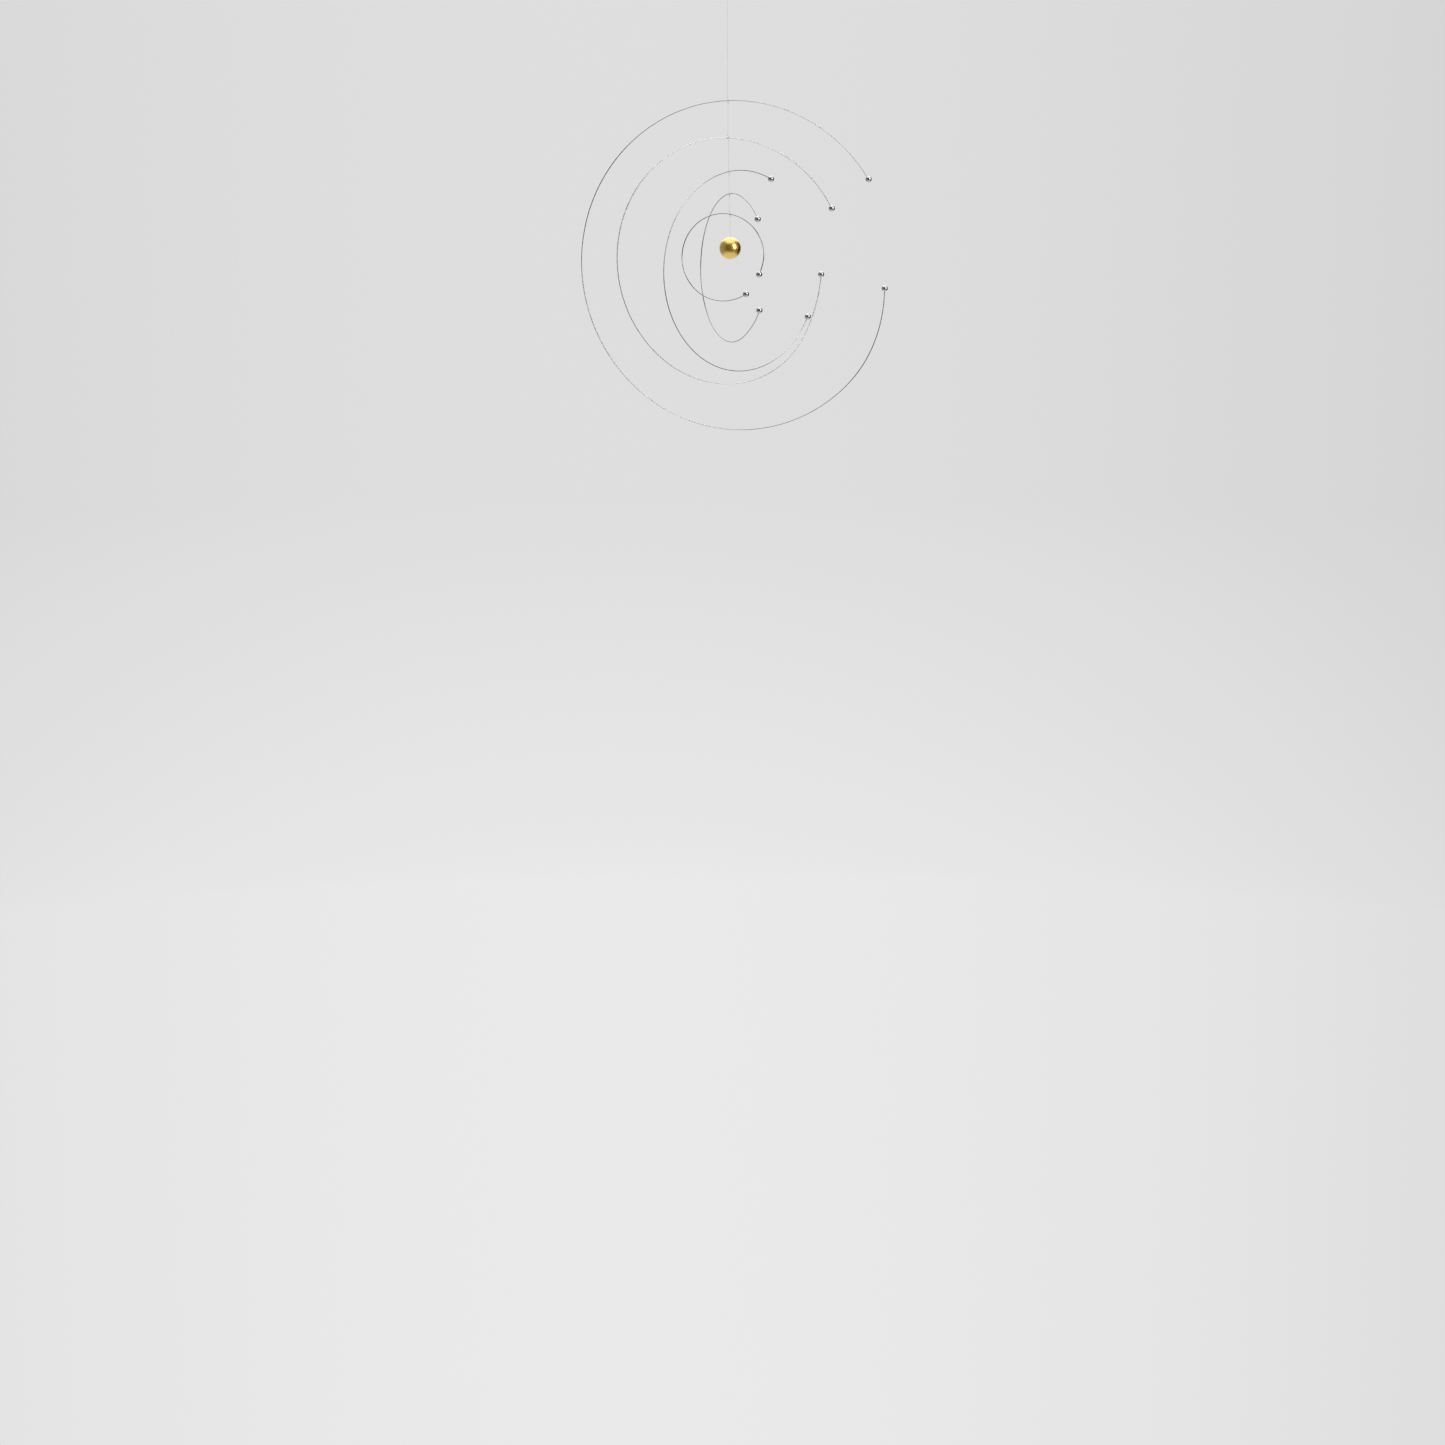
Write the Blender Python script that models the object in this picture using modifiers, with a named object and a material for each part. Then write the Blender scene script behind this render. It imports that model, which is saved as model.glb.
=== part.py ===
"""Hanging mobile of five nested open wire rings around a gold ball.

Each ring is a stiff round wire bent to a C, with a small chromed ball on both
of its ends. The rings hang inside one another on short lengths of fine thread,
so each one turns by itself about the thread above it. The thread of the
outer ring runs up to a knot and a loop for a ceiling hook.

Metres, +Z up. The origin is the inside of the loop's crown, where a hook
bears. Ring angles are polar, in degrees, in the plane of the ring: 0 points
to the open side, 90 points up, and the wire runs from its upper end over the
top and round the back to its lower end.
"""

import math
from dataclasses import dataclass

import bmesh
import bpy
from mathutils import Vector

for old_object in list(bpy.data.objects):
    bpy.data.objects.remove(old_object, do_unlink=True)

# Stock
WIRE_DIAMETER = 0.0009
THREAD_DIAMETER = 0.00035
END_BALL_DIAMETER = 0.0065
END_BALL_BORE_DEPTH = 0.0026
GOLD_BALL_DIAMETER = 0.022
GOLD_BALL_BORE_DEPTH = 0.004
CLEARANCE = 0.0003

# Loop and knot that the mobile hangs by
LOOP_HEIGHT = 0.016
LOOP_WIDTH = 0.008
KNOT_HEIGHT = 0.0024
KNOT_DIAMETER = 0.0018
TOP_THREAD_LENGTH = 0.1012

# Ties: the turn of thread about a wire, and the short stub below it
TIE_SPACING = 0.0007
TIE_STUB_LENGTH = 0.003
TIE_SWEEP = 240.0
TIE_LEAD_TURNS = 4.0

# Rings, from the outside in: radius of the wire's circle
RING_1_RADIUS = 0.1651
RING_2_RADIUS = 0.1240
RING_3_RADIUS = 0.1010
RING_4_RADIUS = 0.0743
RING_5_RADIUS = 0.0438

# Distance of each ring's centre from its thread, towards the open side
RING_1_OFFSET = 0.0133
RING_2_OFFSET = 0.0029
RING_3_OFFSET = 0.0170
RING_4_OFFSET = 0.0055
RING_5_OFFSET = -0.0069

# Drop from each ring's wire to the next one's, and from the last to the gold ball's centre
RING_2_DROP = 0.0368
RING_3_DROP = 0.0335
RING_4_DROP = 0.0221
RING_5_DROP = 0.0201
GOLD_BALL_DROP = 0.034

# How far the last stretch of a wire is drawn in from its circle, or let out where it is negative
RING_1_LOWER_BEND = 0.0123
RING_2_UPPER_BEND = 0.0020
RING_2_LOWER_BEND = 0.0068
RING_3_UPPER_BEND = 0.0010
RING_4_UPPER_BEND = -0.0024
RING_4_LOWER_BEND = -0.0027
RING_5_UPPER_BEND = 0.0018
RING_5_LOWER_BEND = -0.0004

# Fineness of the faceted solids
WIRE_STEP = 0.012
BALL_SIDES = 12
BALL_RINGS = 8
GOLD_BALL_SIDES = 24
GOLD_BALL_RINGS = 14
TIE_POINTS = 9
LEAD_POINTS = 5
LOOP_POINTS = 18
KNOT_SIDES = 12
KNOT_RINGS = 6


@dataclass
class Bend:
    """A change that grows along the wire, from one polar angle to another, to its full amount."""
    start: float
    full: float
    amount: float

    def at(self, angle):
        return self.amount * smooth_step((angle - self.start) / (self.full - self.start))


@dataclass
class Ring:
    """One open ring. Its drop is measured from the wire of the ring above.

    Width is its breadth against its height, and squash leans the oval over.
    """
    name: str
    drop: float
    radius: float
    centre_offset: float
    facing: float
    upper_end: float
    lower_end: float
    width: float = 1.0
    squash: float = 0.0
    upper_bend: Bend = None
    lower_bend: Bend = None
    upper_twist: Bend = None
    lower_twist: Bend = None

    def radius_at(self, angle):
        radius = self.radius * (1.0 - self.squash * math.sin(math.radians(2.0 * angle)))
        for bend in (self.upper_bend, self.lower_bend):
            if bend:
                radius -= bend.at(angle)
        return radius

    def reach_at(self, angle):
        return self.width * self.radius_at(angle) * math.cos(math.radians(angle))

    def centre_height(self):
        """Height of the ring's centre against the point that its thread holds."""
        top = self.angle_over(0.0)
        return -self.radius_at(top) * math.sin(math.radians(top))

    def point(self, angle):
        """Point of the wire's centre line: +X to the open side, on the thread's axis at 0."""
        reach = self.reach_at(angle)
        height = self.radius_at(angle) * math.sin(math.radians(angle)) + self.centre_height()
        twists = (self.upper_twist, self.lower_twist)
        turn = math.radians(sum(twist.at(angle) for twist in twists if twist))
        return Vector((self.centre_offset + reach * math.cos(turn), reach * math.sin(turn), height))

    def angle_over(self, distance):
        """Polar angle at which the wire passes this far to the open side of the thread."""
        low, high = 45.0, 135.0
        for _ in range(40):
            middle = 0.5 * (low + high)
            if self.centre_offset + self.reach_at(middle) > distance:
                low = middle
            else:
                high = middle
        return 0.5 * (low + high)


def smooth_step(share):
    share = min(max(share, 0.0), 1.0)
    return share * share * (3.0 - 2.0 * share)


RINGS = [
    Ring("ring_1", drop=TOP_THREAD_LENGTH, radius=RING_1_RADIUS, centre_offset=RING_1_OFFSET,
         facing=16.4, upper_end=32.7, lower_end=351.8, squash=0.012,
         lower_bend=Bend(315, 375, RING_1_LOWER_BEND)),
    Ring("ring_2", drop=RING_2_DROP, radius=RING_2_RADIUS, centre_offset=RING_2_OFFSET,
         facing=26.8, upper_end=27.0, lower_end=354.1, width=1.020, squash=0.0157,
         upper_bend=Bend(60, 26, RING_2_UPPER_BEND), lower_bend=Bend(235, 340, RING_2_LOWER_BEND),
         upper_twist=Bend(87, 26, -8.0), lower_twist=Bend(235, 344, 11.0)),
    Ring("ring_3", drop=RING_3_DROP, radius=RING_3_RADIUS, centre_offset=RING_3_OFFSET,
         facing=37.5, upper_end=67.5, lower_end=332.2, width=0.977, squash=-0.0077,
         upper_bend=Bend(95, 66, RING_3_UPPER_BEND)),
    Ring("ring_4", drop=RING_4_DROP, radius=RING_4_RADIUS, centre_offset=RING_4_OFFSET,
         facing=-63.2, upper_end=38.6, lower_end=327.1, width=0.948, squash=-0.0040,
         upper_bend=Bend(68, 38, RING_4_UPPER_BEND), lower_bend=Bend(298, 326, RING_4_LOWER_BEND)),
    Ring("ring_5", drop=RING_5_DROP, radius=RING_5_RADIUS, centre_offset=RING_5_OFFSET,
         facing=-17.8, upper_end=-24.0, lower_end=303.5,
         upper_bend=Bend(15, -25, RING_5_UPPER_BEND), lower_bend=Bend(280, 303, RING_5_LOWER_BEND)),
]


def make_material(name, colour, roughness, metallic, transmission=0.0):
    material = bpy.data.materials.new(name)
    material.use_nodes = True
    shader = material.node_tree.nodes["Principled BSDF"]
    shader.inputs["Base Color"].default_value = (*colour, 1.0)
    shader.inputs["Roughness"].default_value = roughness
    shader.inputs["Metallic"].default_value = metallic
    shader.inputs["Transmission Weight"].default_value = transmission
    material.diffuse_color = (*colour, 1.0)
    return material


STEEL = make_material("polished_steel_wire", (0.60, 0.60, 0.61), 0.18, 1.0)
CHROME = make_material("mirror_chrome", (0.86, 0.87, 0.88), 0.04, 1.0)
GOLD = make_material("satin_gold", (0.80, 0.60, 0.26), 0.28, 1.0)
THREAD = make_material("clear_nylon_thread", (0.78, 0.79, 0.80), 0.35, 0.0, 0.4)

MOBILE = bpy.data.collections.new("nested_ring_mobile")
bpy.context.scene.collection.children.link(MOBILE)


def add_object(name, data, material, parent):
    obj = bpy.data.objects.new(name, data)
    data.materials.append(material)
    MOBILE.objects.link(obj)
    obj.parent = parent
    return obj


def add_axis(name, location, facing):
    """Empty on a thread's axis, turned so that its +X is the open side of the ring."""
    empty = bpy.data.objects.new(name, None)
    empty.empty_display_size = 0.01
    empty.location = location
    empty.rotation_euler = (0.0, 0.0, math.radians(facing))
    MOBILE.objects.link(empty)
    return empty


def add_tube(name, points, diameter, material, parent):
    curve = bpy.data.curves.new(name, "CURVE")
    curve.dimensions = "3D"
    curve.twist_mode = "MINIMUM"
    curve.bevel_depth = 0.5 * diameter
    curve.bevel_resolution = 2
    curve.use_fill_caps = True
    spline = curve.splines.new("POLY")
    spline.points.add(len(points) - 1)
    for target, point in zip(spline.points, points):
        target.co = (*point, 1.0)
    return add_object(name, curve, material, parent)


def add_turned(name, profile, sides, material, parent, location, axis=Vector((0, 0, 1))):
    """Solid of revolution. The profile is (radius, height) pairs, down the outer side last."""
    mesh = bpy.data.meshes.new(name)
    shape = bmesh.new()
    corners = [shape.verts.new((radius, 0.0, height)) for radius, height in profile]
    for first, second in zip(corners, corners[1:]):
        shape.edges.new((first, second))
    shape.to_mesh(mesh)
    shape.free()
    obj = add_object(name, mesh, material, parent)
    obj.location = location
    obj.rotation_mode = "QUATERNION"
    obj.rotation_quaternion = axis.to_track_quat("Z", "Y")
    screw = obj.modifiers.new("turn", "SCREW")
    screw.axis = "Z"
    screw.steps = sides
    screw.render_steps = sides
    screw.use_merge_vertices = True
    screw.merge_threshold = 0.00001
    screw.use_smooth_shade = True
    return obj


def add_drilled_ball(name, diameter, bore, bore_depth, sides, rings, material, parent, location, axis):
    """Ball with a blind hole for a wire or thread, its mouth on the side of axis."""
    radius = 0.5 * diameter
    bore_radius = 0.5 * bore + CLEARANCE
    mouth = math.asin(bore_radius / radius)
    floor_height = radius - bore_depth
    profile = [(0.0, floor_height), (bore_radius, floor_height)]
    for step in range(rings + 1):
        angle = mouth + (math.pi - mouth) * step / rings
        profile.append((radius * math.sin(angle), radius * math.cos(angle)))
    profile[-1] = (0.0, -radius)
    return add_turned(name, profile, sides, material, parent, location, axis)


def tie_path(side):
    """Turn of thread about a wire in the plane across it, from the wire's centre.

    It leads from the thread's axis (side +1 above the wire, -1 below it) to the
    wire's flank, then round the far side of the wire.
    """
    turn = 0.5 * (WIRE_DIAMETER + THREAD_DIAMETER) + CLEARANCE
    lead = TIE_LEAD_TURNS * turn
    points = []
    for step in range(LEAD_POINTS):
        share = step / LEAD_POINTS
        points.append(Vector((0.0, turn * smooth_step(share), side * lead * (1.0 - share))))
    for step in range(TIE_POINTS + 1):
        angle = -math.radians(TIE_SWEEP) * step / TIE_POINTS
        points.append(Vector((0.0, turn * math.cos(angle), side * turn * math.sin(angle))))
    return points


def tie_lead_height():
    return tie_path(1)[0].z


def add_hanger():
    """Loop for the hook, and the knot that closes it. Returns the knot's lower face height."""
    axis = add_axis("hanger_axis", (0.0, 0.0, 0.0), 0.0)
    leg_spacing = THREAD_DIAMETER + CLEARANCE
    crown = 0.5 * THREAD_DIAMETER
    points = []
    for step in range(LOOP_POINTS + 1):
        angle = math.pi * (2.0 * step / LOOP_POINTS - 1.0)
        fall = 0.5 * (1.0 - math.cos(angle))
        bulge = 0.65 * LOOP_WIDTH * math.sin(angle) * math.cos(0.5 * angle)
        leg = math.copysign(0.5 * leg_spacing * fall, angle)
        points.append(Vector((bulge + leg, 0.0, crown - (LOOP_HEIGHT + crown) * fall)))
    add_tube("hanging_loop", points, THREAD_DIAMETER, THREAD, axis)

    top = -LOOP_HEIGHT - 0.5 * THREAD_DIAMETER - CLEARANCE
    profile = [(0.0, 0.0)]
    for step in range(KNOT_RINGS + 1):
        share = step / KNOT_RINGS
        bulge = 1.0 - 0.35 * (2.0 * share - 1.0) ** 2
        profile.append((0.5 * KNOT_DIAMETER * bulge, -KNOT_HEIGHT * share))
    profile.append((0.0, -KNOT_HEIGHT))
    add_turned("hanging_knot", profile, KNOT_SIDES, THREAD, axis, (0.0, 0.0, top))
    return top - KNOT_HEIGHT


def add_thread(name, length, axis):
    """Upright thread tied at its lower end about the wire that passes the axis empty."""
    top = Vector((0.0, 0.0, length))
    add_tube(name, [top] + tie_path(1), THREAD_DIAMETER, THREAD, axis)


def add_lower_tie(name, foot, axis, location):
    """Turn of thread about a wire with its stub below, which ends at the foot."""
    path = [location + point for point in tie_path(-1)]
    end = Vector((location.x, location.y, foot))
    add_tube(name, [end] + path, THREAD_DIAMETER, THREAD, axis)


def add_ring(ring, axis):
    """The ring's wire and its two end balls, in the frame of its axis empty."""
    insert = END_BALL_BORE_DEPTH - CLEARANCE
    stop_short = math.degrees((0.5 * END_BALL_DIAMETER - insert) / ring.radius)
    first = ring.upper_end + stop_short
    last = ring.lower_end - stop_short
    count = math.ceil(math.radians(last - first) * ring.radius / WIRE_STEP)
    points = [ring.point(first + (last - first) * step / count) for step in range(count + 1)]
    add_tube(ring.name + "_wire", points, WIRE_DIAMETER, STEEL, axis)

    for which, angle, back in (("upper", ring.upper_end, 1.0), ("lower", ring.lower_end, -1.0)):
        centre = ring.point(angle)
        towards_wire = (ring.point(angle + back * stop_short) - centre).normalized()
        add_drilled_ball(ring.name + "_" + which + "_ball", END_BALL_DIAMETER, WIRE_DIAMETER,
                         END_BALL_BORE_DEPTH, BALL_SIDES, BALL_RINGS, CHROME, axis, centre,
                         towards_wire)


def add_gold_ball(centre_height, axis):
    """Gold ball and its thread, tied at the axis empty and glued into the drilled hole."""
    bore_floor = centre_height + 0.5 * GOLD_BALL_DIAMETER - GOLD_BALL_BORE_DEPTH
    end = Vector((0.0, 0.0, bore_floor + CLEARANCE))
    add_tube("gold_ball_thread", [end] + tie_path(-1), THREAD_DIAMETER, THREAD, axis)
    add_drilled_ball("gold_ball", GOLD_BALL_DIAMETER, THREAD_DIAMETER, GOLD_BALL_BORE_DEPTH,
                     GOLD_BALL_SIDES, GOLD_BALL_RINGS, GOLD, axis, (0.0, 0.0, centre_height),
                     Vector((0, 0, 1)))


def build():
    thread_top = add_hanger() - CLEARANCE
    axis_xy = Vector((0.0, 0.0))
    wire_height = thread_top
    for ring in RINGS:
        wire_height -= ring.drop
        location = (axis_xy.x, axis_xy.y, wire_height)
        axis = add_axis(ring.name + "_axis", location, ring.facing)
        add_ring(ring, axis)
        add_thread(ring.name + "_thread", thread_top - wire_height, axis)

        tie_point = ring.point(ring.angle_over(TIE_SPACING))
        facing = math.radians(ring.facing)
        axis_xy = axis_xy + TIE_SPACING * Vector((math.cos(facing), math.sin(facing)))
        if ring is RINGS[-1]:
            ball_axis = add_axis("gold_ball_axis",
                                 (axis_xy.x, axis_xy.y, wire_height + tie_point.z), ring.facing)
            add_gold_ball(-GOLD_BALL_DROP, ball_axis)
        else:
            foot = tie_point.z - tie_lead_height() - TIE_STUB_LENGTH
            add_lower_tie(ring.name + "_lower_tie", foot, axis, tie_point)
            thread_top = wire_height + foot - CLEARANCE


build()
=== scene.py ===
"""Looks of a hanging mobile: five nested open rings of polished wire with chromed
end balls, a satin gold ball in the middle, and the fine nylon thread they hang by."""

import math
from dataclasses import dataclass

import bmesh
import bpy
from mathutils import Matrix, Vector


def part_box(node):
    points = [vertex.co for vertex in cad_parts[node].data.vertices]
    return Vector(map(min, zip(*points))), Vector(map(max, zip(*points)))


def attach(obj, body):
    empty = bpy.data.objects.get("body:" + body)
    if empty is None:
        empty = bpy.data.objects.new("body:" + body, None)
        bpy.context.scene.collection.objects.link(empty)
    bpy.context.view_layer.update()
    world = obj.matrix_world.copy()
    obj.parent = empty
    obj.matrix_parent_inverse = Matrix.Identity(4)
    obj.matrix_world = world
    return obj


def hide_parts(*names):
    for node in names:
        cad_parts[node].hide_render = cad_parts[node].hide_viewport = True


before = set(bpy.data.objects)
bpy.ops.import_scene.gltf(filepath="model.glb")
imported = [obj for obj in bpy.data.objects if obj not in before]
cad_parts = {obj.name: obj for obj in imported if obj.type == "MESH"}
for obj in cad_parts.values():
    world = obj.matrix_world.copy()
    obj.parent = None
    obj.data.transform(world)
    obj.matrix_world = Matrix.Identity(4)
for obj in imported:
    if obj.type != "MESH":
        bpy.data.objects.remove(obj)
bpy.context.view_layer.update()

# Stock, as in the solids
WIRE_DIAMETER = 0.0009
THREAD_DIAMETER = 0.00035
END_BALL_DIAMETER = 0.0065
GOLD_BALL_DIAMETER = 0.022
LOOP_HEIGHT = 0.016
LOOP_WIDTH = 0.008
KNOT_HEIGHT = 0.0024
TOP_THREAD_LENGTH = 0.1012
TIE_SPACING = 0.0007
GOLD_BALL_DROP = 0.034
CLEARANCE = 0.0003

# Gap between a tie and the cut end of the thread under it, which turns with the lower ring
TURNING_GAP = 0.00002

# Drilled bores of the balls, and the rounded lips of their mouths
END_BALL_BORE_RADIUS = 0.5 * WIRE_DIAMETER + 0.00003
END_BALL_BORE_DEPTH = 0.0026
END_BALL_LIP = 0.00012
WIRE_END_TO_BALL_CENTRE = 0.35 * END_BALL_DIAMETER
GOLD_BALL_BORE_RADIUS = 0.5 * THREAD_DIAMETER + 0.00025
GOLD_BALL_BORE_DEPTH = 0.004
GOLD_BALL_LIP = 0.00035
THREAD_IN_GOLD_BALL = 0.0035

# Fineness of the finished surfaces
WIRE_STEP = 0.0016
WIRE_SIDES = 16
THREAD_SIDES = 10
BALL_SIDES = 64
BALL_RINGS = 40
GOLD_BALL_SIDES = 128
GOLD_BALL_RINGS = 80
LIP_STEPS = 4
LOOP_STEPS = 64
TOP_THREAD_STEPS = 60

# Photograph: 74.7 mm lens on a 36 mm frame, level with the rings' centre and tilted down
CAMERA_DISTANCE = 3.076
CAMERA_BESIDE = -0.00487
CAMERA_BELOW_HOOK = 0.28387
CAMERA_TILT_DOWN = 8.67
LENS = 74.74
FRAME_WIDTH = 36.0
FLOOR_BELOW_HOOK = 1.53


# How often the search for a place on a ring halves its range
HALVINGS = 40


def smooth_step(share):
    share = min(max(share, 0.0), 1.0)
    return share * share * (3.0 - 2.0 * share)


@dataclass
class Bend:
    """An extra pull of the wire away from its circle, near one of its ends."""
    start: float
    full: float
    amount: float

    def at(self, angle):
        return self.amount * smooth_step((angle - self.start) / (self.full - self.start))


@dataclass
class Ring:
    """One open ring, as in the solids. Angles are polar: 0 at the open side, 90 up."""
    name: str
    drop: float
    radius: float
    centre_offset: float
    facing: float
    upper_end: float
    lower_end: float
    width: float = 1.0
    squash: float = 0.0
    upper_bend: Bend = None
    lower_bend: Bend = None
    upper_twist: Bend = None
    lower_twist: Bend = None

    def radius_at(self, angle):
        """Distance from the ring's centre, with the lean of its oval and its drawn-in ends."""
        radius = self.radius * (1.0 - self.squash * math.sin(math.radians(2.0 * angle)))
        for bend in (self.upper_bend, self.lower_bend):
            if bend:
                radius -= bend.at(angle)
        return radius

    def reach_at(self, angle):
        """Sideways distance from the ring's centre."""
        return self.width * self.radius_at(angle) * math.cos(math.radians(angle))

    def centre_height(self):
        """Height of the ring's centre, from where the wire hangs on its thread: a negative value."""
        top = self.angle_over(0.0)
        return -self.radius_at(top) * math.sin(math.radians(top))

    def point(self, angle):
        """Place on the wire's centre line, seen from where it hangs, before the ring is turned."""
        reach = self.reach_at(angle)
        height = self.radius_at(angle) * math.sin(math.radians(angle)) + self.centre_height()
        twists = (self.upper_twist, self.lower_twist)
        turn = math.radians(sum(twist.at(angle) for twist in twists if twist))
        return Vector((self.centre_offset + reach * math.cos(turn), reach * math.sin(turn), height))

    def angle_over(self, distance):
        """Angle at which the upper part of the wire is this far to the side of its thread."""
        low, high = 45.0, 135.0
        for _ in range(HALVINGS):
            middle = 0.5 * (low + high)
            if self.centre_offset + self.reach_at(middle) > distance:
                low = middle
            else:
                high = middle
        return 0.5 * (low + high)


RINGS = [
    Ring("ring_1", drop=TOP_THREAD_LENGTH, radius=0.1651, centre_offset=0.0133, facing=16.4,
         upper_end=32.7, lower_end=351.8, squash=0.012, lower_bend=Bend(315, 375, 0.0123)),
    Ring("ring_2", drop=0.0368, radius=0.1240, centre_offset=0.0029, facing=26.8,
         upper_end=27.0, lower_end=354.1, width=1.020, squash=0.0157,
         upper_bend=Bend(60, 26, 0.0020), lower_bend=Bend(235, 340, 0.0068),
         upper_twist=Bend(87, 26, -8.0), lower_twist=Bend(235, 344, 11.0)),
    Ring("ring_3", drop=0.0335, radius=0.1010, centre_offset=0.0170, facing=37.5,
         upper_end=67.5, lower_end=332.2, width=0.977, squash=-0.0077,
         upper_bend=Bend(95, 66, 0.0010)),
    Ring("ring_4", drop=0.0221, radius=0.0743, centre_offset=0.0055, facing=-63.2,
         upper_end=38.6, lower_end=327.1, width=0.948, squash=-0.0040,
         upper_bend=Bend(68, 38, -0.0024), lower_bend=Bend(298, 326, -0.0027)),
    Ring("ring_5", drop=0.0201, radius=0.0438, centre_offset=-0.0069, facing=-17.8,
         upper_end=-24.0, lower_end=303.5, upper_bend=Bend(15, -25, 0.0018),
         lower_bend=Bend(280, 303, -0.0004)),
]


# Finishes

# Part of a noise's range that is spread over a finish's range
NOISE_LOW = 0.3
NOISE_HIGH = 0.7


def feed(tree, value, socket):
    """Set a socket to a number, or link it to another node's output."""
    if isinstance(value, (int, float)):
        socket.default_value = value
    else:
        tree.links.new(value, socket)


def use_math(tree, operation, *values):
    """Math node. Each value is a number or another node's output."""
    node = tree.nodes.new("ShaderNodeMath")
    node.operation = operation
    for socket, value in zip(node.inputs, values):
        feed(tree, value, socket)
    return node.outputs[0]


def map_range(tree, value, start, end, low=0.0, high=1.0, smooth=False):
    """Carry a value from start..end on to low..high, held at both ends."""
    node = tree.nodes.new("ShaderNodeMapRange")
    if smooth:
        node.interpolation_type = "SMOOTHSTEP"
    for name, number in (("From Min", start), ("From Max", end), ("To Min", low), ("To Max", high)):
        node.inputs[name].default_value = number
    tree.links.new(value, node.inputs["Value"])
    return node.outputs["Result"]


def mix_values(tree, factor, first, second):
    """Blend of two values. Each is a number or another node's output."""
    node = tree.nodes.new("ShaderNodeMix")
    for name, value in (("Factor", factor), ("A", first), ("B", second)):
        feed(tree, value, node.inputs[name])
    return node.outputs["Result"]


def start_material(name, colour, metallic, roughness):
    material = bpy.data.materials.new(name)
    material.use_nodes = True
    shader = material.node_tree.nodes["Principled BSDF"]
    shader.inputs["Base Color"].default_value = (*colour, 1.0)
    shader.inputs["Metallic"].default_value = metallic
    shader.inputs["Roughness"].default_value = roughness
    return material, shader


def add_noise(tree, scale, detail, stretch=(1.0, 1.0, 1.0)):
    """Noise in the piece's own coordinates, drawn out along the axis with the small stretch."""
    nodes, links = tree.nodes, tree.links
    place = nodes.new("ShaderNodeTexCoord")
    mapping = nodes.new("ShaderNodeMapping")
    mapping.inputs["Scale"].default_value = stretch
    noise = nodes.new("ShaderNodeTexNoise")
    noise.inputs["Scale"].default_value = scale
    noise.inputs["Detail"].default_value = detail
    links.new(place.outputs["Object"], mapping.inputs["Vector"])
    links.new(mapping.outputs["Vector"], noise.inputs["Vector"])
    return noise.outputs["Fac"]


def spread(tree, noise, low, high):
    return map_range(tree, noise, NOISE_LOW, NOISE_HIGH, low, high)


def tint(tree, noise, first, second):
    ramp = tree.nodes.new("ShaderNodeValToRGB")
    stops = ramp.color_ramp.elements
    for stop, place, colour in zip(stops, (NOISE_LOW, NOISE_HIGH), (first, second)):
        stop.position = place
        stop.color = (*colour, 1.0)
    tree.links.new(noise, ramp.inputs["Fac"])
    return ramp.outputs["Color"]


def add_bump(tree, height, strength, distance, under=None):
    bump = tree.nodes.new("ShaderNodeBump")
    bump.inputs["Strength"].default_value = strength
    bump.inputs["Distance"].default_value = distance
    tree.links.new(height, bump.inputs["Height"])
    if under:
        tree.links.new(under, bump.inputs["Normal"])
    return bump.outputs["Normal"]


def polished_wire_finish():
    """Bright drawn steel: a fine haze that comes and goes, and the odd dull rub."""
    material, shader = start_material("polished_steel_wire", (0.42, 0.42, 0.43), 1.0, 0.15)
    tree = material.node_tree
    haze = add_noise(tree, 260.0, 2.0)
    rubs = add_noise(tree, 60.0, 2.0)
    tree.links.new(spread(tree, haze, 0.14, 0.19), shader.inputs["Roughness"])
    tree.links.new(tint(tree, rubs, (0.39, 0.39, 0.40), (0.45, 0.45, 0.46)),
                   shader.inputs["Base Color"])
    tree.links.new(add_bump(tree, haze, 0.02, 0.00002), shader.inputs["Normal"])
    return material


def mirror_chrome_finish():
    """Plating with a faint ripple and hairline wipe marks."""
    material, shader = start_material("mirror_chrome", (0.53, 0.54, 0.55), 1.0, 0.03)
    tree = material.node_tree
    ripple = add_noise(tree, 260.0, 1.0)
    wipes = add_noise(tree, 2600.0, 4.0, (1.0, 0.12, 1.0))
    tree.links.new(spread(tree, wipes, 0.02, 0.06), shader.inputs["Roughness"])
    tree.links.new(tint(tree, wipes, (0.50, 0.51, 0.52), (0.56, 0.57, 0.58)),
                   shader.inputs["Base Color"])
    tree.links.new(add_bump(tree, ripple, 0.15, 0.00002), shader.inputs["Normal"])
    return material


def satin_gold_finish():
    """Gold plating over a fine blasted surface, with faint clouding and small handling marks."""
    material, shader = start_material("satin_gold", (0.84, 0.54, 0.03), 1.0, 0.36)
    shader.inputs["Coat Weight"].default_value = 1.0
    shader.inputs["Coat IOR"].default_value = 2.2
    shader.inputs["Coat Roughness"].default_value = 0.25
    tree = material.node_tree
    grain = add_noise(tree, 5200.0, 2.0)
    clouds = add_noise(tree, 160.0, 3.0)
    marks = add_noise(tree, 900.0, 2.0, (1.0, 1.0, 0.15))
    tree.links.new(spread(tree, clouds, 0.34, 0.39), shader.inputs["Roughness"])
    tree.links.new(tint(tree, clouds, (0.82, 0.525, 0.02), (0.86, 0.555, 0.04)),
                   shader.inputs["Base Color"])
    fine = add_bump(tree, grain, 0.05, 0.00003)
    tree.links.new(add_bump(tree, marks, 0.02, 0.00003, fine), shader.inputs["Normal"])
    return material


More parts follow.
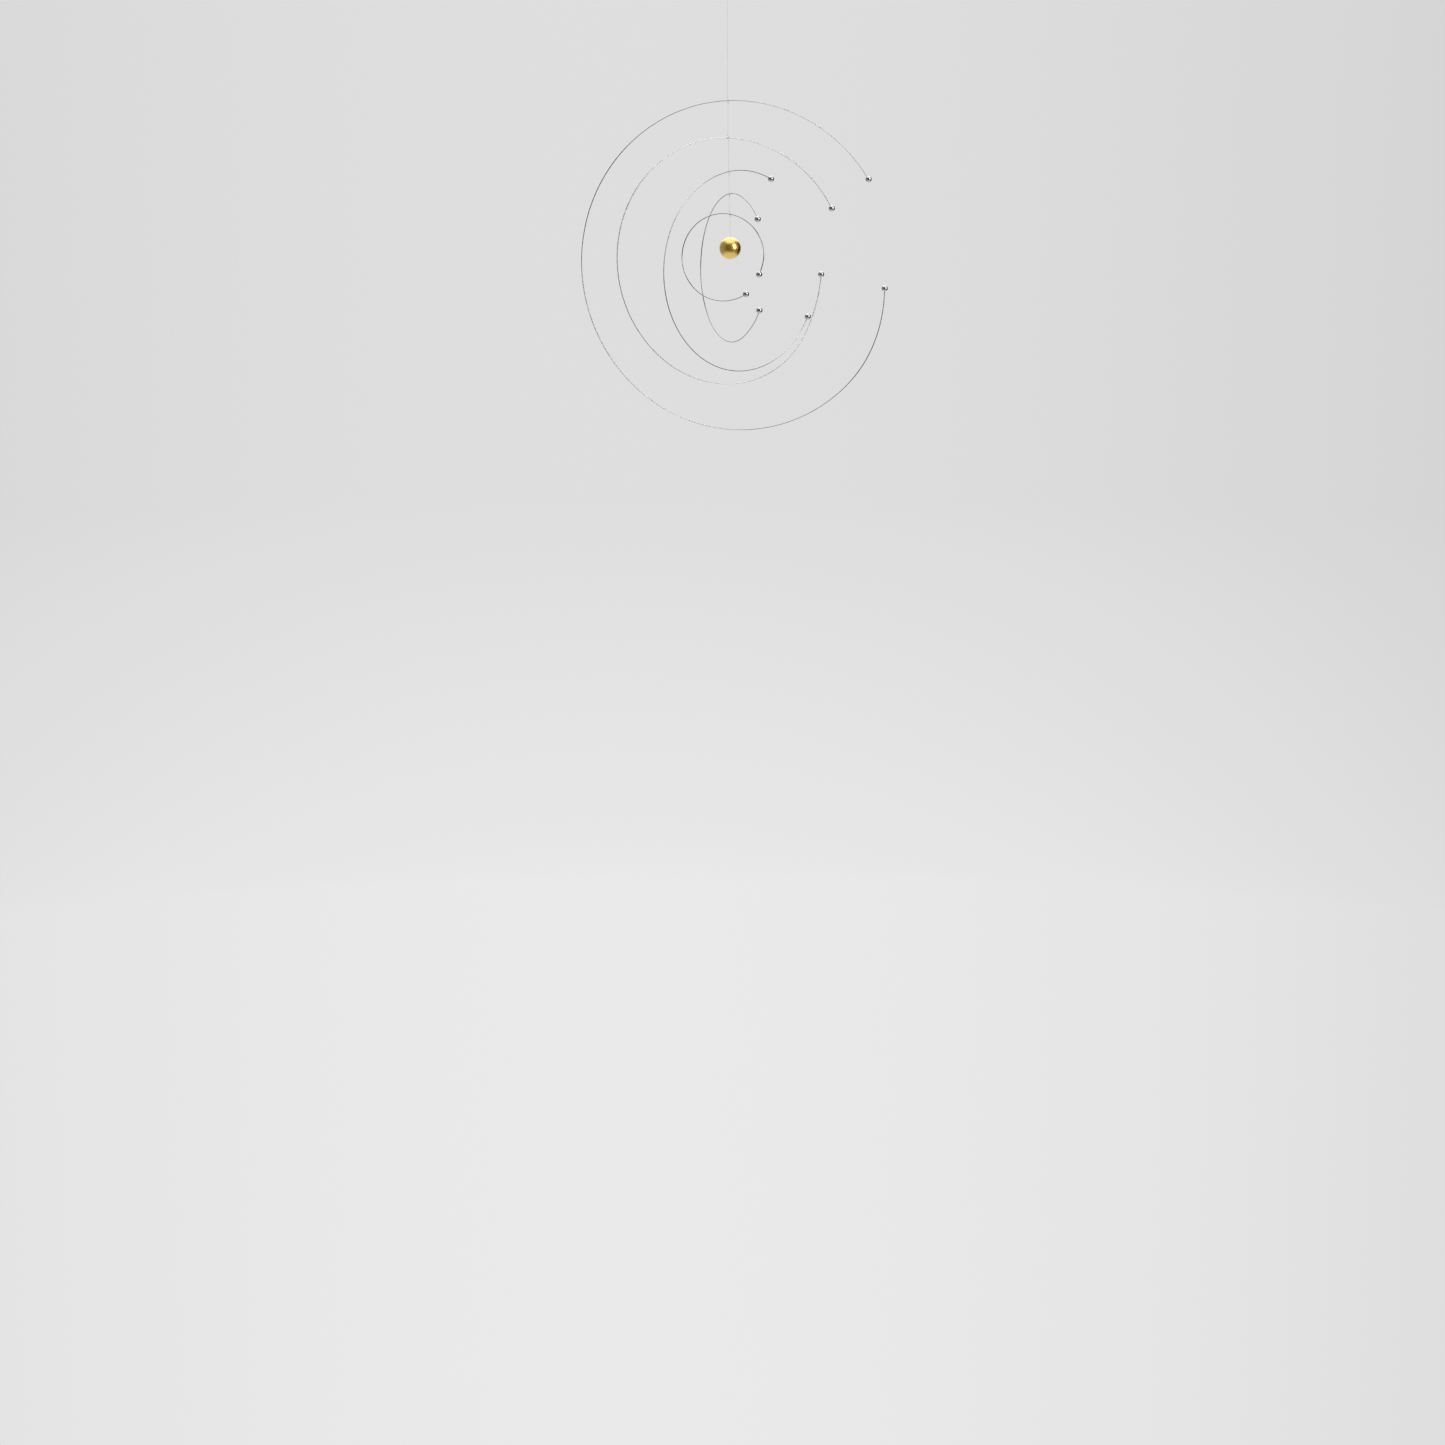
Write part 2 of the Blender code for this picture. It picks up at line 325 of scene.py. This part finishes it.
def nylon_thread_finish():
    """Clear fishing line: drawn nylon that lets most light through."""
    material, shader = start_material("clear_nylon_thread", (0.97, 0.97, 0.98), 0.0, 0.05)
    shader.inputs["Transmission Weight"].default_value = 0.97
    shader.inputs["IOR"].default_value = 1.45
    tree = material.node_tree
    haze = add_noise(tree, 1500.0, 3.0)
    tree.links.new(spread(tree, haze, 0.03, 0.09), shader.inputs["Roughness"])
    tree.links.new(add_bump(tree, haze, 0.04, 0.00002), shader.inputs["Normal"])
    return material


STEEL = polished_wire_finish()
CHROME = mirror_chrome_finish()
GOLD = satin_gold_finish()
NYLON = nylon_thread_finish()


# Swept pieces: a round section along a path, by Geometry Nodes

def drawn_round_tree():
    """Tree that draws a round section along a path. Named inputs set its diameter and sides."""
    tree = bpy.data.node_groups.new("drawn_round", "GeometryNodeTree")
    face = tree.interface
    face.new_socket(name="Path", in_out="INPUT", socket_type="NodeSocketGeometry")
    face.new_socket(name="Diameter", in_out="INPUT", socket_type="NodeSocketFloat")
    face.new_socket(name="Sides", in_out="INPUT", socket_type="NodeSocketInt")
    face.new_socket(name="Finish", in_out="INPUT", socket_type="NodeSocketMaterial")
    face.new_socket(name="Piece", in_out="OUTPUT", socket_type="NodeSocketGeometry")
    nodes, links = tree.nodes, tree.links
    given = nodes.new("NodeGroupInput")
    made = nodes.new("NodeGroupOutput")
    path = nodes.new("GeometryNodeMeshToCurve")
    halve = nodes.new("ShaderNodeMath")
    halve.operation = "MULTIPLY"
    halve.inputs[1].default_value = 0.5
    section = nodes.new("GeometryNodeCurvePrimitiveCircle")
    sweep = nodes.new("GeometryNodeCurveToMesh")
    sweep.inputs["Fill Caps"].default_value = True
    smooth = nodes.new("GeometryNodeSetShadeSmooth")
    realise = nodes.new("GeometryNodeRealizeInstances")
    finish = nodes.new("GeometryNodeSetMaterial")
    links.new(given.outputs["Path"], path.inputs["Mesh"])
    links.new(given.outputs["Diameter"], halve.inputs[0])
    links.new(halve.outputs[0], section.inputs["Radius"])
    links.new(given.outputs["Sides"], section.inputs["Resolution"])
    links.new(path.outputs["Curve"], sweep.inputs["Curve"])
    links.new(section.outputs["Curve"], sweep.inputs["Profile Curve"])
    links.new(sweep.outputs["Mesh"], smooth.inputs["Geometry"])
    links.new(smooth.outputs["Geometry"], realise.inputs["Geometry"])
    links.new(realise.outputs["Geometry"], finish.inputs["Geometry"])
    links.new(given.outputs["Finish"], finish.inputs["Material"])
    links.new(finish.outputs["Geometry"], made.inputs["Piece"])
    return tree


DRAWN_ROUND = drawn_round_tree()


def set_input(modifier, name, value):
    """Set one of the tree's named inputs, which the modifier keeps by the socket's identifier."""
    for item in modifier.node_group.interface.items_tree:
        if item.item_type == "SOCKET" and item.in_out == "INPUT" and item.name == name:
            modifier[item.identifier] = value
            return
    raise KeyError(name)


def draw_round(name, paths, diameter, sides, finish):
    """Plain mesh of a round section along one or more open paths, given in the frame."""
    lines = bpy.data.meshes.new(name + "_path")
    corners, edges = [], []
    for path in paths:
        first = len(corners)
        corners += [tuple(point) for point in path]
        edges += [(first + step, first + step + 1) for step in range(len(path) - 1)]
    lines.from_pydata(corners, edges, [])
    guide = bpy.data.objects.new(name + "_guide", lines)
    bpy.context.scene.collection.objects.link(guide)
    modifier = guide.modifiers.new("draw", "NODES")
    modifier.node_group = DRAWN_ROUND
    set_input(modifier, "Diameter", diameter)
    set_input(modifier, "Sides", sides)
    set_input(modifier, "Finish", finish)
    bpy.context.view_layer.update()
    mesh = bpy.data.meshes.new_from_object(guide.evaluated_get(bpy.context.evaluated_depsgraph_get()))
    mesh.name = name
    bpy.data.objects.remove(guide, do_unlink=True)
    bpy.data.meshes.remove(lines)
    point_faces_out(mesh)
    return place_piece(name, mesh, finish)


def draw_thread(name, paths):
    return draw_round(name, paths, THREAD_DIAMETER, THREAD_SIDES, NYLON)


def point_faces_out(mesh):
    """Merge doubles and turn the faces out. The round is shaded smooth, the flat end caps aren't."""
    shape = bmesh.new()
    shape.from_mesh(mesh)
    bmesh.ops.remove_doubles(shape, verts=shape.verts, dist=1e-7)
    bmesh.ops.recalc_face_normals(shape, faces=shape.faces)
    for face in shape.faces:
        face.smooth = len(face.verts) <= 4
    shape.to_mesh(mesh)
    shape.free()


def place_piece(name, mesh, finish):
    """Object at the origin, whose place is in its mesh."""
    mesh.materials.clear()
    mesh.materials.append(finish)
    piece = bpy.data.objects.new(name, mesh)
    bpy.context.scene.collection.objects.link(piece)
    return piece


# Turned pieces: a profile spun about an axis

def turn_profile(name, profile, sides, finish, centre, axis):
    """Solid of revolution from (radius, height) pairs, set at centre with its top along axis."""
    shape = bmesh.new()
    corners = [shape.verts.new((radius, 0.0, height)) for radius, height in profile]
    edges = [shape.edges.new(pair) for pair in zip(corners, corners[1:])]
    bmesh.ops.spin(shape, geom=corners + edges, cent=(0, 0, 0), axis=(0, 0, 1),
                   angle=2.0 * math.pi, steps=sides, use_merge=True, use_duplicate=False)
    bmesh.ops.remove_doubles(shape, verts=shape.verts, dist=1e-6)
    bmesh.ops.recalc_face_normals(shape, faces=shape.faces)
    for face in shape.faces:
        face.smooth = True
    turn = axis.to_track_quat("Z", "Y").to_matrix().to_4x4()
    bmesh.ops.transform(shape, matrix=Matrix.Translation(centre) @ turn, verts=shape.verts)
    mesh = bpy.data.meshes.new(name)
    shape.to_mesh(mesh)
    shape.free()
    return place_piece(name, mesh, finish)


def drilled_ball_profile(radius, hole_radius, hole_depth, lip, rings):
    """Half outline of a ball with a blind hole, whose mouth has a small rounded lip."""
    mouth = math.asin((hole_radius + lip) / radius)
    top = radius * math.cos(mouth)
    profile = [(0.0, radius - hole_depth), (hole_radius, radius - hole_depth)]
    for step in range(LIP_STEPS + 1):
        angle = 0.5 * math.pi * step / LIP_STEPS
        profile.append((hole_radius + lip * (1.0 - math.cos(angle)), top - lip * (1.0 - math.sin(angle))))
    for step in range(1, rings + 1):
        angle = mouth + (math.pi - mouth) * step / rings
        profile.append((radius * math.sin(angle), radius * math.cos(angle)))
    profile[-1] = (0.0, -radius)
    return profile


# Thread ties

def smooth_path(points, per_span):
    """Catmull-Rom curve through the points, with even steps in each span."""
    path = []
    last = len(points) - 1
    for index in range(last):
        before, start = points[max(index - 1, 0)], points[index]
        end, after = points[index + 1], points[min(index + 2, last)]
        for step in range(per_span):
            t = step / per_span
            path.append(0.5 * ((2.0 * start) + (end - before) * t
                               + (2.0 * before - 5.0 * start + 4.0 * end - after) * t * t
                               + (3.0 * start - before - 3.0 * end + after) * t * t * t))
    path.append(points[-1])
    return path


WRAP_RADIUS = 0.5 * (WIRE_DIAMETER + THREAD_DIAMETER)
WRAP_TURNS = 2.0
WRAP_PITCH = 1.03 * THREAD_DIAMETER
WRAP_START_ANGLE = 35.0
COIL_RADIUS = THREAD_DIAMETER
COIL_TURNS = 4.5
COIL_PITCH = 1.04 * THREAD_DIAMETER
COIL_START = 0.0014
COIL_START_ANGLE = 200.0
TAG_STEP = 0.000595
TAG_RISE = 0.000425
TURN_STEPS = 10
KNOT_PATH_STEPS = 3


def clinch_knot(side):
    """Fishing-line knot: turns round the wire, a coil round the standing thread, a cut tag.

    side +1 is a thread that comes from above the wire, -1 one that hangs below it.
    The path starts on the standing thread, and the wire runs along X through 0.
    """
    points = [Vector((0.0, 0.0, side * (COIL_START + COIL_TURNS * COIL_PITCH))),
              Vector((0.0, 0.0, side * COIL_START)),
              Vector((0.0, 0.5 * WRAP_RADIUS, side * 1.25 * WRAP_RADIUS))]
    for step in range(int(WRAP_TURNS * TURN_STEPS) + 1):
        angle = math.radians(WRAP_START_ANGLE) - 2.0 * math.pi * step / TURN_STEPS
        along = -side * WRAP_PITCH * step / TURN_STEPS
        points.append(Vector((along, WRAP_RADIUS * math.cos(angle),
                              side * WRAP_RADIUS * math.sin(angle))))
    for step in range(int(COIL_TURNS * TURN_STEPS) + 1):
        angle = math.radians(COIL_START_ANGLE) + 2.0 * math.pi * step / TURN_STEPS
        rise = COIL_START + COIL_PITCH * step / TURN_STEPS
        points.append(Vector((COIL_RADIUS * math.cos(angle), COIL_RADIUS * math.sin(angle),
                              side * rise)))
    out = (points[-1] - points[-2]).normalized()
    points.append(points[-1] + TAG_STEP * out)
    points.append(points[-1] + TAG_STEP * out + Vector((0.0, 0.0, side * TAG_RISE)))
    return smooth_path(points, KNOT_PATH_STEPS)


# Pieces

def ring_axis(location, facing):
    """Frame of a ring: its origin where the wire hangs, turned about the thread to face its way."""
    return Matrix.Translation(location) @ Matrix.Rotation(math.radians(facing), 4, "Z")


def finish_piece(piece, body, slot, *nodes):
    """Let a piece ride on its body, in place of the nodes that it stands for. slot is not used."""
    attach(piece, body)
    if nodes:
        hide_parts(*nodes)
    return piece


def make_wire(ring, axis):
    """One length of wire, whose ends stand in the bores of the end balls."""
    insert = math.degrees(WIRE_END_TO_BALL_CENTRE / ring.radius)
    first, last = ring.upper_end + insert, ring.lower_end - insert
    count = math.ceil(math.radians(last - first) * ring.radius / WIRE_STEP)
    path = [axis @ ring.point(first + (last - first) * step / count) for step in range(count + 1)]
    piece = draw_round(ring.name + "_polished_wire", [path], WIRE_DIAMETER, WIRE_SIDES, STEEL)
    finish_piece(piece, ring.name, "steel_wire", ring.name + "_wire")


def make_end_balls(ring, axis):
    """A ball on each end of the wire, its bore in line with the wire."""
    profile = drilled_ball_profile(0.5 * END_BALL_DIAMETER, END_BALL_BORE_RADIUS,
                                   END_BALL_BORE_DEPTH, END_BALL_LIP, BALL_RINGS)
    look_ahead = math.degrees(0.25 * END_BALL_DIAMETER / ring.radius)
    for which, angle, back in (("upper", ring.upper_end, 1.0), ("lower", ring.lower_end, -1.0)):
        centre = axis @ ring.point(angle)
        towards_wire = (axis @ ring.point(angle + back * look_ahead) - centre).normalized()
        piece = turn_profile(f"{ring.name}_{which}_chrome_ball", profile, BALL_SIDES, CHROME,
                             centre, towards_wire)
        finish_piece(piece, ring.name, "chrome", f"{ring.name}_{which}_ball")


def make_threads():
    """Every thread and tie from the hook down. Gives the frame that each ring hangs in."""
    knot_top = -LOOP_HEIGHT - 0.5 * THREAD_DIAMETER - CLEARANCE
    knot_foot = knot_top - KNOT_HEIGHT
    loop = make_loop(knot_top)
    knot = make_knot(knot_top)
    thread_top = knot_foot - CLEARANCE
    spot = Vector((0.0, 0.0, 0.0))
    height = thread_top
    axes = {}
    for ring in RINGS:
        height -= ring.drop
        axis = ring_axis((spot.x, spot.y, height), ring.facing)
        axes[ring.name] = axis
        knot_path = [axis @ point for point in clinch_knot(1)]
        start = Vector((spot.x, spot.y, knot_path[0].z))
        top = Vector((spot.x, spot.y, thread_top + CLEARANCE))
        tie = draw_thread(ring.name + "_thread_tie", [knot_path])
        finish_piece(tie, ring.name, "thread")
        if ring is RINGS[0]:
            make_top_thread(start, top)
        else:
            top.z -= TURNING_GAP
            line = draw_thread(ring.name + "_nylon_thread", [[top, start]])
            finish_piece(line, ring.name, "thread", ring.name + "_thread")
        tie_point = ring.point(ring.angle_over(TIE_SPACING))
        turn = math.radians(ring.facing)
        spot = spot + TIE_SPACING * Vector((math.cos(turn), math.sin(turn), 0.0))
        lower_knot = [axis @ (point + tie_point) for point in clinch_knot(-1)]
        if ring is RINGS[-1]:
            make_gold_ball(spot, height + tie_point.z, lower_knot)
        else:
            low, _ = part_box(ring.name + "_lower_tie")
            foot = Vector((spot.x, spot.y, low.z))
            stub = [foot, lower_knot[0]]
            tie = draw_thread(ring.name + "_next_thread_tie", [lower_knot, stub])
            finish_piece(tie, ring.name, "thread", ring.name + "_lower_tie")
            thread_top = low.z - CLEARANCE
    return axes


def make_top_thread(start, top):
    """The free length that the mobile hangs by, taut, from the outer ring's tie to the knot."""
    path = [start.lerp(top, step / TOP_THREAD_STEPS) for step in range(TOP_THREAD_STEPS + 1)]
    thread = draw_thread("top_thread", [path])
    finish_piece(thread, "ring_1", "thread", "ring_1_thread")


# Hanging loop and its knot

LEG_SPACING = THREAD_DIAMETER + CLEARANCE
LOOP_BULGE = 0.65 * LOOP_WIDTH
TAIL_IN_KNOT = 0.0004
TAIL_DRAW_IN = 0.7


def make_loop(knot_top):
    """Drop-shaped loop of thread, whose two tails run into the knot."""
    crown = 0.5 * THREAD_DIAMETER
    drop = []
    for step in range(LOOP_STEPS + 1):
        angle = math.pi * (2.0 * step / LOOP_STEPS - 1.0)
        fall = 0.5 * (1.0 - math.cos(angle))
        bulge = LOOP_BULGE * math.sin(angle) * math.cos(0.5 * angle)
        leg = math.copysign(0.5 * LEG_SPACING * fall, angle)
        drop.append(Vector((bulge + leg, 0.0, crown - (LOOP_HEIGHT + crown) * fall)))
    tails = [Vector((leg.x * TAIL_DRAW_IN, 0.0, knot_top - TAIL_IN_KNOT)) for leg in (drop[0], drop[-1])]
    loop = draw_thread("thread_loop", [[tails[0], *drop, tails[1]]])
    return finish_piece(loop, "hanger", "thread", "hanging_loop")


KNOT_TURNS = 5.5
KNOT_RADIUS = 0.0006
KNOT_TAPER = 0.25
KNOT_TURN_STEPS = 14
CORE_ABOVE_KNOT = 0.0001


def make_knot(knot_top):
    """Coiled knot that closes the loop: close turns round the straight thread, narrower at its ends."""
    pitch = (KNOT_HEIGHT - THREAD_DIAMETER) / KNOT_TURNS
    count = int(KNOT_TURNS * KNOT_TURN_STEPS)
    coil = []
    for step in range(count + 1):
        angle = 2.0 * math.pi * step / KNOT_TURN_STEPS
        fall = 0.5 * THREAD_DIAMETER + pitch * step / KNOT_TURN_STEPS
        swell = KNOT_RADIUS * (1.0 - KNOT_TAPER * (2.0 * step / count - 1.0) ** 4)
        coil.append(Vector((swell * math.cos(angle), swell * math.sin(angle), knot_top - fall)))
    core_top = Vector((0.0, 0.0, knot_top + CORE_ABOVE_KNOT))
    core_foot = Vector((0.0, 0.0, knot_top - KNOT_HEIGHT - CLEARANCE))
    knot = draw_thread("coiled_knot", [coil, [core_top, core_foot]])
    return finish_piece(knot, "hanger", "thread", "hanging_knot")


def make_gold_ball(spot, tie_height, lower_knot):
    """The middle ball, and the thread from the innermost ring into its bore."""
    centre = Vector((spot.x, spot.y, tie_height - GOLD_BALL_DROP))
    radius = 0.5 * GOLD_BALL_DIAMETER
    profile = drilled_ball_profile(radius, GOLD_BALL_BORE_RADIUS, GOLD_BALL_BORE_DEPTH,
                                   GOLD_BALL_LIP, GOLD_BALL_RINGS)
    ball = turn_profile("satin_gold_ball", profile, GOLD_BALL_SIDES, GOLD, centre, Vector((0, 0, 1)))
    finish_piece(ball, "ring_5", "gold", "gold_ball")
    foot = centre + Vector((0.0, 0.0, radius - THREAD_IN_GOLD_BALL))
    line = draw_thread("gold_ball_nylon_thread", [lower_knot, [foot, lower_knot[0]]])
    finish_piece(line, "ring_5", "thread", "gold_ball_thread")


# Studio

@dataclass
class SoftLight:
    """A softbox, lit wall or dark flag far off: a rectangle with soft edges. Angles in degrees."""
    direction: tuple
    half_width: float
    half_height: float
    edge: float
    brightness: float


# Brightness of the unlit room, the backdrop and the floor
DARK_ROOM = 0.11
WALL = 0.73
# The floor's brightness is a painted glow, not lit by a lamp
PALE_FLOOR = 0.82

# Painted light falloff: the backdrop and floor darken with the square of the way sideways from their
# brightest line, a painted shade towards the sides.
# The way is a share of the distance, fanned out from the place where the photograph was taken
WALL_FALL = 1.25
WALL_BRIGHTEST = -0.04
WALL_FALL_LIMIT = 0.25
NEAREST_FAN_DEPTH = 1.0

# Round floor, which glows with painted light: at its palest out to the first radius, the backdrop's
# brightness at the second, a painted fall of light with distance
FLOOR_NEAR = 3.0
FLOOR_FAR = 13.0
FLOOR_SIDES = 192

# The object reflects these, each mixed over the ones before it
LIGHTS = [
    # White wall behind the object
    SoftLight((0.0, 1.0, 0.0), 46, 60, 8, WALL),
    # Dim wall on the left
    SoftLight((-1.0, 0.1, 0.0), 38, 45, 12, 0.33),
    # Dark flag on the right, which covers part of the wall behind
    SoftLight((0.84, 0.53, -0.12), 28, 31, 6, 0.0),
    # Lit floor
    SoftLight((0.0, 0.05, -1.0), 48, 49, 10, 0.85),
    # Bright ceiling
    SoftLight((0.0, 0.34, 1.0), 35, 51, 10, 1.8),
    # Small strong softbox in front, on the right and a little above
    SoftLight((0.735, -0.60, 0.295), 13, 18, 4, 6.0),
]


# A ray meets only the lights that it runs towards
IN_FRONT = 0.001


def add_light(tree, ray, light, room):
    """Brightness of the room along a ray, with one more light mixed over what is there so far."""
    middle = Vector(light.direction).normalized()
    side = middle.cross(Vector((0, 0, 1))).normalized()
    up = side.cross(middle)

    def along(axis):
        dot = tree.nodes.new("ShaderNodeVectorMath")
        dot.operation = "DOT_PRODUCT"
        dot.inputs[1].default_value = axis
        tree.links.new(ray, dot.inputs[0])
        return dot.outputs["Value"]

    depth = along(middle)
    mask = use_math(tree, "GREATER_THAN", depth, IN_FRONT)
    for axis, half in ((side, light.half_width), (up, light.half_height)):
        aside = use_math(tree, "ABSOLUTE", use_math(tree, "DIVIDE", along(axis), depth))
        outer = math.tan(math.radians(half + light.edge))
        inner = math.tan(math.radians(half - light.edge))
        mask = use_math(tree, "MULTIPLY", mask, map_range(tree, aside, outer, inner, smooth=True))
    return mix_values(tree, mask, room, light.brightness)


def painted_falloff_to_sides(tree, sideways, behind):
    """Painted shade: share of its brightness that the backdrop or floor keeps towards the sides. behind
    is 1 where the fall is full.
    """
    limited = use_math(tree, "MINIMUM", use_math(tree, "MAXIMUM", sideways, -WALL_FALL_LIMIT),
                       WALL_FALL_LIMIT)
    away = use_math(tree, "SUBTRACT", limited, WALL_BRIGHTEST)
    here = use_math(tree, "MULTIPLY", use_math(tree, "MULTIPLY", away, away),
                    use_math(tree, "MAXIMUM", behind, 0.0))
    return use_math(tree, "SUBTRACT", 1.0, use_math(tree, "MULTIPLY", here, WALL_FALL))


def light_studio():
    """White backdrop for the camera, with painted shade falling off to its sides, and the room of
    softboxes that the object reflects.
    """
    world = bpy.data.worlds.new("studio")
    bpy.context.scene.world = world
    world.use_nodes = True
    tree = world.node_tree
    nodes, links = tree.nodes, tree.links
    nodes.clear()
    ray = nodes.new("ShaderNodeTexCoord").outputs["Generated"]
    room = DARK_ROOM
    for light in LIGHTS:
        room = add_light(tree, ray, light, room)
    split = nodes.new("ShaderNodeSeparateXYZ")
    links.new(ray, split.inputs["Vector"])
    # Painted shade: the backdrop that the camera sees darkens towards the sides
    fall = painted_falloff_to_sides(tree, split.outputs["X"], split.outputs["Y"])
    backdrop = use_math(tree, "MULTIPLY", fall, WALL)
    looked_at = nodes.new("ShaderNodeLightPath").outputs["Is Camera Ray"]
    shine = nodes.new("ShaderNodeBackground")
    links.new(mix_values(tree, looked_at, room, backdrop), shine.inputs["Color"])
    out = nodes.new("ShaderNodeOutputWorld")
    links.new(shine.outputs["Background"], out.inputs["Surface"])


def floor_painted_light_finish():
    """Seamless paper that glows with painted light: pale near the object, and as bright as the backdrop
    where it meets that.
    """
    material = bpy.data.materials.new("paper_floor_painted_glow")
    material.use_nodes = True
    tree = material.node_tree
    nodes, links = tree.nodes, tree.links
    nodes.clear()
    split = nodes.new("ShaderNodeSeparateXYZ")
    links.new(nodes.new("ShaderNodeTexCoord").outputs["Object"], split.inputs["Vector"])
    along, away = split.outputs["X"], split.outputs["Y"]
    squares = [use_math(tree, "MULTIPLY", way, way) for way in (along, away)]
    reach = use_math(tree, "SQRT", use_math(tree, "ADD", *squares))
    # Painted light: the floor's glow fades with distance, from its palest near the object to the
    # backdrop's brightness
    far = map_range(tree, reach, FLOOR_NEAR, FLOOR_FAR)
    tone = mix_values(tree, use_math(tree, "SQRT", far), PALE_FLOOR, WALL)

    # The painted falloff is full beside and behind the object, fades out in front of it, and is the
    # backdrop's own at the rim
    depth = use_math(tree, "MAXIMUM", use_math(tree, "ADD", away, CAMERA_DISTANCE), NEAREST_FAN_DEPTH)
    sideways = use_math(tree, "DIVIDE", along, depth)
    close_by = map_range(tree, away, -FLOOR_NEAR, 0.0, smooth=True)
    behind = mix_values(tree, far, close_by, use_math(tree, "DIVIDE", away, reach))
    fall = painted_falloff_to_sides(tree, sideways, behind)
    # The floor glows: its brightness is painted light, not lit by any lamp
    paper = nodes.new("ShaderNodeEmission")
    links.new(use_math(tree, "MULTIPLY", tone, fall), paper.inputs["Color"])
    out = nodes.new("ShaderNodeOutputMaterial")
    links.new(paper.outputs["Emission"], out.inputs["Surface"])
    return material


def lay_floor():
    """Round pale floor, which glows with painted light. The object reflects the room's own lit floor, so
    only the camera sees it.
    """
    shape = bmesh.new()
    bmesh.ops.create_circle(shape, cap_ends=True, segments=FLOOR_SIDES, radius=FLOOR_FAR)
    bmesh.ops.translate(shape, verts=shape.verts, vec=(0, 0, -FLOOR_BELOW_HOOK))
    mesh = bpy.data.meshes.new("pale_floor")
    shape.to_mesh(mesh)
    shape.free()
    floor = place_piece("pale_floor", mesh, floor_painted_light_finish())
    floor.visible_diffuse = False
    floor.visible_glossy = False
    floor.visible_transmission = False
    floor.visible_shadow = False


def place_camera():
    camera = bpy.data.cameras.new("camera")
    camera.sensor_width = FRAME_WIDTH
    camera.lens = LENS
    camera.clip_start = 0.05
    camera.clip_end = 200.0
    holder = bpy.data.objects.new("camera", camera)
    bpy.context.scene.collection.objects.link(holder)
    holder.location = (CAMERA_BESIDE, -CAMERA_DISTANCE, -CAMERA_BELOW_HOOK)
    holder.rotation_euler = (math.radians(90.0 - CAMERA_TILT_DOWN), 0.0, 0.0)
    bpy.context.scene.camera = holder


bpy.context.scene.view_settings.view_transform = "Standard"
place_camera()
light_studio()
lay_floor()
ring_axes = make_threads()
for ring in RINGS:
    make_wire(ring, ring_axes[ring.name])
    make_end_balls(ring, ring_axes[ring.name])
